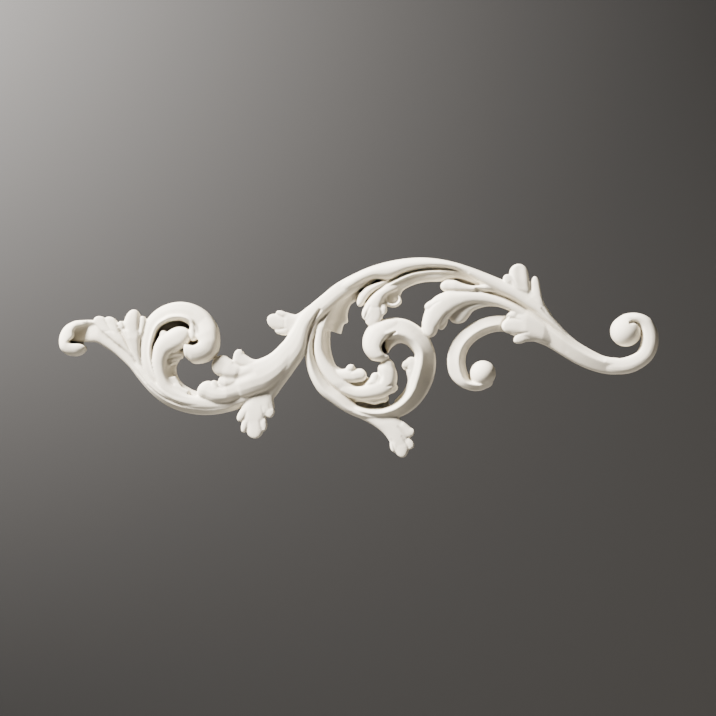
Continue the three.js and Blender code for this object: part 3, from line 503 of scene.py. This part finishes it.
RIGHT_VOLUTE = [
    form(NEAR_KEEL, [
        [532, 300, 516, 335, 13], [541, 301, 530, 340, 16.5], [550, 315, 546, 346, 18],
        [561, 327.5, 561, 355, 18.5], [575, 340.3, 579, 365.3, 18], [590, 349.7, 596, 371.8, 17.5],
        [604, 356.3, 611, 374.4, 17], [618, 358.2, 626, 373.5, 16],
    ]),
    form(ROLL, [
        [592, 351.7, 598, 370.8, 12], [606, 357, 613, 374.1, 16.3], [619, 358.4, 628, 373.3, 18],
        [630, 355.6, 641, 367.7, 19], [638, 349.8, 651.5, 358.3, 20], [641, 341, 656.7, 345, 20.5],
        [641, 332, 656, 331, 20.5], [638.3, 325.5, 648.5, 318.5, 20.5], [632, 322.3, 636.5, 313.3, 20],
        [628, 324, 624, 314.2, 18], [624, 326, 615.5, 319.5, 14],
    ]),
]

TOP_LEAF = [
    form(SHEET, [
        [558, 328, 562, 331, 13], [543, 312, 550, 317, 16], [527, 300, 542.5, 304, 17.2],
        [514, 288.5, 539, 292.5, 15],
    ]),
    form(SHEET, [
        [523, 301, 533, 304, 13], [511, 288, 529.5, 291.5, 17.7], [508.6, 279, 528.4, 281, 18],
        [509.3, 273.5, 527.5, 273.8, 17.7],
    ], [518, 264.4]),
    form(LOBE, [[519, 294, 523, 288, 14], [505.5, 284, 512.5, 277.5, 17]], [504.2, 275.6]),
    form(LOBE, [
        [548, 316, 551, 315, 12], [535, 300, 542.3, 301, 16], [530.8, 291, 540.2, 293, 16],
        [530.2, 286, 539.2, 286, 15.5],
    ], [534, 276.7]),
]

CALYX = [
    form(SHEET, [
        [562, 333, 557, 348, 12], [545, 318, 541, 341.5, 17], [526, 310.5, 524, 338, 18.3],
        [515, 313, 514.5, 335.2, 17.6],
    ], [507, 326]),
    form(LOBE, [[532, 312, 530, 321, 13], [514, 311, 512.5, 320.3, 17.5]], [506, 316.3]),
    form(LOBE, [
        [534, 318, 534, 332, 14], [520, 318, 520, 334, 18], [510.3, 318.3, 511, 333.3, 17.8],
    ], [501, 326.5]),
    form(LOBE, [[538, 330, 540, 341, 13], [520, 331.5, 525, 341.8, 17]], [513.3, 341.5]),
]

SMALL_SCROLL = [
    form(ROOF, [
        [520, 316, 520, 333, 11], [504, 315.7, 503, 331.5, 14], [492, 316.2, 493, 332.4, 15],
        [480, 319.3, 482, 336.7, 15.5], [467, 326.7, 474, 342.2, 16], [456, 336.7, 468, 350, 16],
        [449, 349.5, 465.4, 358.5, 16], [447, 362, 466, 367.5, 16], [449.8, 375.8, 468.5, 375.5, 16.5],
        [458, 385, 471, 380, 17], [470, 390.3, 475.5, 380, 17], [480, 390.6, 480, 380.5, 17],
        [487, 387.8, 485, 380, 16],
    ], [492.5, 382]),
]

FORMS = (
    LEFT_VOLUTE + LEFT_LEAVES + LEFT_SPIRAL + CURLED_LEAF + LEAF_OVER_STEM + MIDDLE_STEM
    + HANGING_LEAF + UPPER_LEAF + HOLLOW_LEAF + CENTRAL_SPIRAL + SPIRAL_LEAF + LOWER_RIGHT_LEAF
    + ARCH_BAND + ARCH_LEAF + RIGHT_LEAF + RIGHT_VOLUTE + TOP_LEAF + CALYX + SMALL_SCROLL
)

# The round buds in the eyes of the two right-hand volutes: centre, radius and height
BUDS = [(625.3, 331.3, 15.2, 23), (482.6, 373.4, 12.8, 21)]

# Veins and creases cut into the skin after it is melted: their line on the pattern, then their
# depth and their half width, in the pattern's units of relief and of width
VEINS = [
    ([(106.7, 319.5), (110, 326), (115, 334)], 0.7, 1.1),
    ([(119.7, 326.5), (124, 335), (132, 352)], 1.4, 1.2),
    ([(124.3, 322.5), (126.5, 329), (130, 338)], 0.7, 1.1),
    ([(141.3, 317), (140.5, 325), (140.5, 335)], 0.8, 1.2),
    ([(223.3, 377), (238, 378), (256, 371)], 1.5, 3.2),
    ([(234.8, 363.3), (241, 366), (250, 366)], 0.7, 1.6),
    ([(212.3, 382.3), (218, 386.5), (225, 389)], 0.6, 1.4),
    ([(276.7, 314.3), (281, 316.5), (287, 319)], 0.6, 1.1),
    ([(276.8, 330.3), (281, 329.5), (288, 328)], 0.6, 1.1),
    ([(272.7, 411.3), (270.5, 407), (269, 403)], 0.4, 1.3),
    ([(264.2, 414), (263, 410), (262, 405)], 0.4, 1.2),
    ([(262.6, 428.4), (261, 424), (260, 419)], 0.4, 1.1),
    ([(246.8, 430), (248, 425), (249.5, 420)], 0.4, 1.1),
    ([(244, 419.3), (246, 415), (248, 410)], 0.4, 1.2),
    ([(365, 318.3), (367.5, 312), (370.5, 305)], 0.8, 1.1),
    ([(382, 313), (380.5, 308), (380, 303)], 0.8, 1.2),
    ([(355.6, 369), (353.5, 371), (350, 373)], 0.7, 1.1),
    ([(378.3, 371), (380.8, 376), (379, 383)], 2.4, 1.5),
    ([(395, 383.5), (391, 385), (386, 387)], 0.7, 1.2),
    ([(394.8, 450), (393, 445), (391, 438)], 0.6, 1.1),
    ([(408.5, 447), (405.5, 441.5), (401, 435)], 0.8, 1.1),
    ([(407.5, 436.5), (403, 431.5), (397, 425.5)], 0.8, 1.2),
    ([(428.3, 310), (433, 305), (440, 301)], 0.7, 1.1),
    ([(438, 327.8), (441.5, 319), (448, 311.5)], 1.0, 1.2),
    ([(509.6, 273.5), (512, 279), (516, 286)], 0.7, 1.1),
    ([(518, 271), (521, 283), (530, 298)], 0.9, 5.0),
    ([(509.5, 318), (514, 319), (521, 320.5)], 0.6, 1.2),
    ([(508.5, 316), (504.5, 319), (501.3, 324), (500.8, 328), (503, 331.3)], 2.2, 1.1),
    ([(474, 289.5), (480, 290.6), (488, 292.5), (496, 294.8), (504, 297.6)], 2.4, 1.6),
    ([(515.5, 334.7), (520, 333.5), (528, 332.5)], 0.8, 1.2),
    ([(402.8, 367.7), (406, 368.5), (410, 371)], 0.8, 1.2),
    ([(627, 323.3), (632, 322.3), (636, 323.6), (639.3, 327.3), (640.3, 333.5), (639, 339)], 3.6, 1.4),
    ([(396.5, 332), (392, 333.8), (387, 337.7), (383.5, 342.5), (382, 348)], 2.6, 1.2),
    ([(365, 303.5), (368, 298.5), (373, 293), (380, 288), (388, 283), (396, 278.5)], 2.6, 1.9),
    ([(384, 286), (394, 279.5), (404, 274.3), (416, 270.8), (430, 269), (444, 269), (456, 270.5),
      (468, 274.5)], 3.0, 2.4),
    ([(316.5, 331), (313.8, 342), (314, 352), (316, 360), (319, 367), (323, 375), (328, 381.5),
      (334, 387.5), (340, 391.8), (347, 395.5), (356, 398.5)], 2.4, 1.2),
    ([(321, 309), (317, 315), (313.5, 321), (310.7, 328), (309, 334), (308, 342)], 2.4, 1.4),
    ([(120, 344.5), (130, 354.5), (140, 367), (152, 383), (166, 395.5), (182, 403.5),
      (200, 405.5)], 1.0, 1.2),
    ([(495, 294.5), (505, 298), (513, 301.7), (520, 306), (527, 310.7), (535, 316), (543, 321.7),
      (550, 327), (560, 334.5), (575, 345.5), (590, 354), (604, 360)], 4.2, 2.2),
    ([(540, 308), (547, 315.5), (555, 323), (564, 331.5), (574, 339.5), (586, 347)], 1.3, 1.3),
]


def place(across, down, height):
    """From the pattern to the frame, in metres."""
    return np.stack([
        (across - ORIGIN_ACROSS) * SCALE,
        np.broadcast_to(-height * RISE, np.shape(across)),
        (ORIGIN_DOWN - down) * SCALE,
    ], axis=-1)


def spline(points, count):
    """A centripetal Catmull-Rom curve through the points, at count + 1 even places."""
    ends = np.vstack([2 * points[0] - points[1], points, 2 * points[-1] - points[-2]])
    just_before_end = len(points) - 1 - 1e-9
    place_on = np.linspace(0, just_before_end, count + 1)
    i = place_on.astype(int)
    w = (place_on - i)[:, None]
    p0, p1, p2, p3 = ends[i], ends[i + 1], ends[i + 2], ends[i + 3]
    gap = [np.maximum(np.linalg.norm(b - a, axis=1) ** 0.5, SHORTEST_GAP)[:, None]
           for a, b in ((p0, p1), (p1, p2), (p2, p3))]
    m1 = ((p1 - p0) / gap[0] - (p2 - p0) / (gap[0] + gap[1]) + (p2 - p1) / gap[1]) * gap[1]
    m2 = ((p2 - p1) / gap[1] - (p3 - p1) / (gap[1] + gap[2]) + (p3 - p2) / gap[2]) * gap[1]
    return ((2 * p1 - 2 * p2 + m1 + m2) * w ** 3 + (3 * p2 - 3 * p1 - 2 * m1 - m2) * w ** 2
            + m1 * w + p1)


def lattice(section, stations, tip):
    """The front of a form, as rows along it of points from edge to edge, on the pattern."""
    near, far, crest = stations[:, 0:2], stations[:, 2:4], stations[:, 4]
    length = np.linalg.norm(np.diff((near + far) / 2, axis=0), axis=1).sum() * SCALE
    count = max(FEWEST_ROWS, round(length / STEP_ALONG))
    near, far = spline(near, count), spline(far, count)
    crest = np.interp(np.linspace(0, len(crest) - 1, count + 1), np.arange(len(crest)), crest)
    middle, half = (near + far) / 2, (far - near) / 2
    left = np.ones(count + 1)
    if tip:
        turn = np.radians(np.linspace(0, TIP_TURN, TIP_ROWS + 1)[1:])[:, None]
        reach = np.array(tip) - middle[-1]
        middle = np.vstack([middle, middle[-1] + reach * np.sin(turn)])
        half = np.vstack([half, half[-1] * np.cos(turn)])
        crest = np.append(crest, np.full(TIP_ROWS, crest[-1]))
        left = np.append(left, np.cos(turn[:, 0]) ** TIP_FULLNESS)
    u = np.linspace(-1, 1, COLUMNS + 1)
    share = section(u)
    edge = min(share[0], share[-1])
    height = crest[:, None] * (edge + (share[None] - edge) * left[:, None])
    points = middle[:, None] + half[:, None] * u[None, :, None]
    return points[..., 0], points[..., 1], height


def closed(across, down, height):
    """Corners and quads of a closed form under a lattice, down to just behind the back plane."""
    front = place(across, down, height)
    back = front.copy()
    back[..., 1] = BACK_ALLOWANCE
    rows, columns = across.shape
    index = np.arange(rows * columns).reshape(rows, columns)
    offset = rows * columns
    a, b, c, d = index[:-1, :-1], index[1:, :-1], index[1:, 1:], index[:-1, 1:]
    top = np.stack([a, b, c, d], axis=-1).reshape(-1, 4)
    under = np.stack([a, d, c, b], axis=-1).reshape(-1, 4) + offset
    rim = np.concatenate([index[0, :-1], index[:-1, -1], index[-1, :0:-1], index[:0:-1, 0]])
    after = np.roll(rim, -1)
    wall = np.stack([rim, after, after + offset, rim + offset], axis=-1)
    corners = np.vstack([front.reshape(-1, 3), back.reshape(-1, 3)])
    return corners, np.vstack([top, under, wall])


def bud(across, down, radius, height):
    """A low dome on a short round wall, as a lattice of rings."""
    turn = np.linspace(0, 2 * math.pi, BUD_SIDES + 1)[None]
    ring = np.sin(np.linspace(BUD_CENTRE, math.pi / 2, BUD_RINGS))[:, None]
    rise = BUD_WALL + (1 - BUD_WALL) * np.sqrt(np.clip(1 - ring ** 2, 0, 1))
    return (across + radius * ring * np.cos(turn), down + radius * ring * np.sin(turn),
            height * rise * np.ones_like(turn))


def joined():
    """All forms as one mesh of closed, overlapping pieces."""
    corners, quads, start = [], [], 0
    for lattices in [lattice(*each) for each in FORMS] + [bud(*each) for each in BUDS]:
        some_corners, some_quads = closed(*lattices)
        corners.append(some_corners)
        quads.append(some_quads + start)
        start += len(some_corners)
    mesh = bpy.data.meshes.new(PIECE)
    mesh.from_pydata(np.vstack(corners).tolist(), [], np.vstack(quads).tolist())
    mesh.update()
    piece = bpy.data.objects.new(PIECE, mesh)
    bpy.context.collection.objects.link(piece)
    return piece


def apply_modifiers(piece):
    """Puts the modified mesh in place of the piece's own."""
    graph = bpy.context.evaluated_depsgraph_get()
    fresh = bpy.data.meshes.new_from_object(piece.evaluated_get(graph))
    old = piece.data
    piece.modifiers.clear()
    piece.data = fresh
    bpy.data.meshes.remove(old)


def remesh(piece):
    """Melts the overlapping forms into one skin and softens its creases, as a casting's are."""
    melt = piece.modifiers.new("melt", "REMESH")
    melt.mode = "VOXEL"
    melt.voxel_size = VOXEL
    melt.use_smooth_shade = True
    soften = piece.modifiers.new("soften", "SMOOTH")
    soften.factor = SMOOTHING
    soften.iterations = SMOOTHING_ROUNDS
    apply_modifiers(piece)


def corners_of(piece):
    """The piece's corners, as rows of x, y and z."""
    flat = np.empty(len(piece.data.vertices) * 3)
    piece.data.vertices.foreach_get("co", flat)
    return flat.reshape(-1, 3)


def set_corners(piece, corners):
    piece.data.vertices.foreach_set("co", corners.ravel())
    piece.data.update()


def beside(line, across, down):
    """How far each point of the pattern lies from a drawn line, and how far along it, from 0 to 1."""
    best = np.full(len(across), np.inf)
    place_on = np.zeros(len(across))
    points = np.stack([across, down], axis=-1)
    legs = len(line) - 1
    for i in range(legs):
        start = line[i]
        leg = line[i + 1] - start
        along = np.clip(((points - start) @ leg) / (leg @ leg), 0, 1)
        away = np.linalg.norm(points - start - along[:, None] * leg, axis=1)
        closer = away < best
        best[closer] = away[closer]
        place_on[closer] = (i + along[closer]) / legs
    return best, place_on


def cut_veins(piece):
    """A short vein starts in full at its notch; a long crease rises and fades at both ends."""
    corners = corners_of(piece)
    across = corners[:, 0] / SCALE + ORIGIN_ACROSS
    down = ORIGIN_DOWN - corners[:, 2] / SCALE
    depth = np.zeros(len(corners))
    for line, deep, half_width in VEINS:
        curve = spline(np.array(line, float), VEIN_STEPS * len(line))
        away, along = beside(curve, across, down)
        fading = np.clip((1 - along) / FADE_OUT, 0, 1)
        if len(line) > SHORT_VEIN:
            fading *= np.clip(along / FADE_IN, 0, 1)
        depth = np.maximum(depth, deep * RISE * np.sqrt(fading) * np.exp(-(away / half_width) ** 2))
    front = np.clip(-corners[:, 1] / (FULL_VEIN_RELIEF * RISE), 0, 1)
    corners[:, 1] += depth * front
    set_corners(piece, corners)


def spread(grid, rounds):
    """Each cell takes the mean of itself and its four neighbours, again and again."""
    for _ in range(rounds):
        padded = np.pad(grid, 1, mode="edge")
        sideways = padded[1:-1, :-2] + padded[1:-1, 2:]
        upright = padded[:-2, 1:-1] + padded[2:, 1:-1]
        grid = (upright + sideways + grid) / 5
    return grid


def broad_hollows(corners):
    """How deep each place lies below the relief within a few millimetres, from 0 to 1."""
    columns = ((corners[:, 0] - low[0]) / GRID).astype(int)
    rows = ((corners[:, 2] - low[2]) / GRID).astype(int)
    relief = np.zeros((rows.max() + 1, columns.max() + 1))
    np.maximum.at(relief, (rows, columns), -corners[:, 1])
    cover = spread((relief > 0) * 1.0, HOLLOW_ROUNDS)
    around = spread(relief, HOLLOW_ROUNDS) / np.maximum(cover, LEAST_COVER)
    below = around[rows, columns] + corners[:, 1]
    return np.clip(below / HOLLOW_DEPTH, 0, 1) ** HOLLOW_SHARPNESS


def averaged(piece, values, rounds):
    """Values at the corners, each averaged over its neighbours on the skin, again and again."""
    ends = np.empty(2 * len(piece.data.edges), int)
    piece.data.edges.foreach_get("vertices", ends)
    first, second = ends.reshape(-1, 2).T
    total = len(values)
    neighbours = np.bincount(ends, minlength=total)
    for _ in range(rounds):
        values = (np.bincount(first, values[second], total)
                  + np.bincount(second, values[first], total)) / neighbours
    return values


def shade_hollows(piece):
    """Paints shade into the hollows and creases of the front, as a colour on the corners."""
    corners = corners_of(piece)
    normals = np.empty(corners.size)
    piece.data.vertices.foreach_get("normal", normals)
    facing = np.clip(-FACING_GAIN * normals.reshape(-1, 3)[:, 1], 0, 1)
    below = averaged(piece, -corners[:, 1], CREASE_ROUNDS) + corners[:, 1]
    creases = CREASE_TONE * np.clip(below / CREASE_DEPTH, 0, 1)
    # Painted shade from the broad hollows and the fine creases together
    painted_shade_amount = 1 - (1 - broad_hollows(corners)) * (1 - creases)
    painted_shade = averaged(piece, facing * painted_shade_amount, SOFTENING_ROUNDS)
    # The painted shade is kept as a colour attribute that the material reads
    layer = piece.data.color_attributes.new("painted_shade", "FLOAT_COLOR", "POINT")
    colours = np.stack([painted_shade, painted_shade, painted_shade, np.ones_like(painted_shade)], axis=-1)
    layer.data.foreach_set("color", colours.ravel())


def keep_in_box(piece):
    """The back is flat on its plane, and nothing stands out of the solid's own box."""
    corners = corners_of(piece)
    set_corners(piece, np.clip(corners, np.array(low), np.array(high)))


def thin_out(piece):
    """Keeps the mesh under its limit of triangles."""
    piece.data.calc_loop_triangles()
    ratio = MOST_TRIANGLES / len(piece.data.loop_triangles)
    if ratio < 1:
        fewer = piece.modifiers.new("fewer", "DECIMATE")
        fewer.ratio = ratio
        apply_modifiers(piece)


def node(tree, kind, **values):
    """A shader node with the values given, each for a socket or else a setting of that name."""
    made = tree.nodes.new(kind)
    for name, value in values.items():
        if name in made.inputs:
            made.inputs[name].default_value = value
        else:
            setattr(made, name, value)
    return made


def primed_foam():
    """Chalky off-white primer: faint warm clouds, painted shade in hollows and creases, a little grain,
    soft and matt.
    """
    material = bpy.data.materials.new(SLOT)
    material.use_nodes = True
    tree = material.node_tree
    shader = tree.nodes["Principled BSDF"]
    shader.inputs["Specular IOR Level"].default_value = 0.3
    place_in = node(tree, "ShaderNodeTexCoord")
    clouds = node(tree, "ShaderNodeTexNoise", Scale=9.0, Detail=4.0, Roughness=0.55)
    tones = node(tree, "ShaderNodeValToRGB")
    for stop, position, colour in zip(tones.color_ramp.elements, (0.3, 0.72), (DARK_PRIMER, LIGHT_PRIMER)):
        stop.position = position
        stop.color = colour
    grain = node(tree, "ShaderNodeTexNoise", Scale=420.0, Detail=3.0, Roughness=0.6)
    waves = node(tree, "ShaderNodeTexNoise", Scale=55.0, Detail=2.0)
    # Painted shade: where the corner colour marks hollows and creases, the primer is mixed towards a dark
    # brown
    painted_shade = node(tree, "ShaderNodeVertexColor", layer_name="painted_shade")
    painted_shade_mix = node(tree, "ShaderNodeMix", data_type="RGBA")
    painted_shade_mix.inputs[SECOND_COLOUR].default_value = PAINTED_SHADE_COLOUR
    sheen = node(tree, "ShaderNodeMapRange")
    sheen.inputs["To Min"].default_value = 0.62
    sheen.inputs["To Max"].default_value = 0.8
    both = node(tree, "ShaderNodeMix", data_type="FLOAT")
    both.inputs["Factor"].default_value = 0.7
    bump = node(tree, "ShaderNodeBump", Strength=0.25, Distance=0.0006)
    link = tree.links.new
    for texture in (clouds, grain, waves):
        link(place_in.outputs["Object"], texture.inputs["Vector"])
    link(clouds.outputs["Fac"], tones.inputs["Fac"])
    link(painted_shade.outputs["Color"], painted_shade_mix.inputs["Factor"])
    link(tones.outputs["Color"], painted_shade_mix.inputs[FIRST_COLOUR])
    link(painted_shade_mix.outputs[MIXED_COLOUR], shader.inputs["Base Color"])
    link(clouds.outputs["Fac"], sheen.inputs["Value"])
    link(sheen.outputs["Result"], shader.inputs["Roughness"])
    link(grain.outputs["Fac"], both.inputs["A"])
    link(waves.outputs["Fac"], both.inputs["B"])
    link(both.outputs["Result"], bump.inputs["Height"])
    link(bump.outputs["Normal"], shader.inputs["Normal"])
    return material


def plain_material(name, colour):
    """A matt colour with no shine, for the stage."""
    material = bpy.data.materials.new(name)
    material.use_nodes = True
    shader = material.node_tree.nodes["Principled BSDF"]
    shader.inputs["Base Color"].default_value = (*colour, 1)
    shader.inputs["Roughness"].default_value = STAGE_ROUGHNESS
    shader.inputs["Specular IOR Level"].default_value = 0
    return material


def casting():
    """The whole moulding as one fine piece, on the body of the frame."""
    piece = joined()
    remesh(piece)
    cut_veins(piece)
    keep_in_box(piece)
    thin_out(piece)
    # Paints shade into the hollows and creases, as a colour on the corners
    shade_hollows(piece)
    for face in piece.data.polygons:
        face.use_smooth = face.normal[1] < BACK_FACING
    piece.data.materials.clear()
    piece.data.materials.append(primed_foam())
    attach(piece, "root")
    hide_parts(NODE)


FRAME_WIDTH = PHOTO_SIZE * SCALE
FRAME_CENTRE = place(np.array(PHOTO_SIZE / 2), np.array(PHOTO_SIZE / 2), 0.0)
MIDDLE = (FRAME_CENTRE[0], 0, FRAME_CENTRE[2])

# The studio's lights: place, side of the square in metres, spread in degrees, power in watts,
# colour, and the place that each looks at
LIGHTS = {
    "key": ((-1.6, -0.9, 1.75), 0.7, 100, 195, (1, 0.95, 0.885), MIDDLE),
    "fill": ((0.6, -2.8, 0.3), 1.8, 180, 3, (1, 0.98, 0.96), MIDDLE),
    "wash": ((-2.1, 4.4, 2.0), 1.3, 125, 232, (1, 0.98, 0.96), (-1.8, ROOM_RADIUS, 1.4)),
}


def camera():
    """Looks straight at the middle of the photo's square from the front."""
    data = bpy.data.cameras.new("camera")
    data.lens = LENS
    data.sensor_width = SENSOR
    made = bpy.data.objects.new("camera", data)
    distance = FRAME_WIDTH * LENS / SENSOR
    made.location = (FRAME_CENTRE[0], -distance, FRAME_CENTRE[2])
    made.rotation_euler = (math.radians(90), 0, 0)
    bpy.context.collection.objects.link(made)
    bpy.context.scene.camera = made


def area_light(name, place_at, size, opening, power, colour, aim):
    """A square lamp that looks at a place and shines within its angle of opening."""
    data = bpy.data.lights.new(name, "AREA")
    data.size = size
    data.spread = math.radians(opening)
    data.energy = power
    data.color = colour
    made = bpy.data.objects.new(name, data)
    made.location = place_at
    towards = np.array(aim) - np.array(place_at)
    made.rotation_euler = Vector(towards).to_track_quat("-Z", "Y").to_euler()
    bpy.context.collection.objects.link(made)


def stage():
    """A pale floor, and a plain grey surround far behind the piece on every side."""
    bpy.ops.mesh.primitive_circle_add(
        vertices=ROOM_SIDES, radius=ROOM_RADIUS, fill_type="NGON", location=(0, 0, FLOOR_LEVEL),
    )
    floor = bpy.context.object
    floor.name = "floor"
    floor.data.materials.append(plain_material("floor", FLOOR_COLOUR))
    bpy.ops.mesh.primitive_cylinder_add(
        vertices=ROOM_SIDES, radius=ROOM_RADIUS, depth=ROOM_HEIGHT, end_fill_type="NOTHING",
        location=(0, 0, FLOOR_LEVEL + ROOM_HEIGHT / 2),
    )
    surround = bpy.context.object
    surround.name = "surround"
    for face in surround.data.polygons:
        face.use_smooth = True
    surround.data.materials.append(plain_material("surround", SURROUND_COLOUR))


def lights():
    """A key from the upper left, a weak fill, and a wash on the upper left of the surround."""
    world = bpy.data.worlds.new("studio")
    world.use_nodes = True
    sky = world.node_tree.nodes["Background"]
    sky.inputs["Color"].default_value = SKY_COLOUR
    sky.inputs["Strength"].default_value = SKY_STRENGTH
    bpy.context.scene.world = world
    for name, settings in LIGHTS.items():
        area_light(name, *settings)


casting()
camera()
stage()
lights()
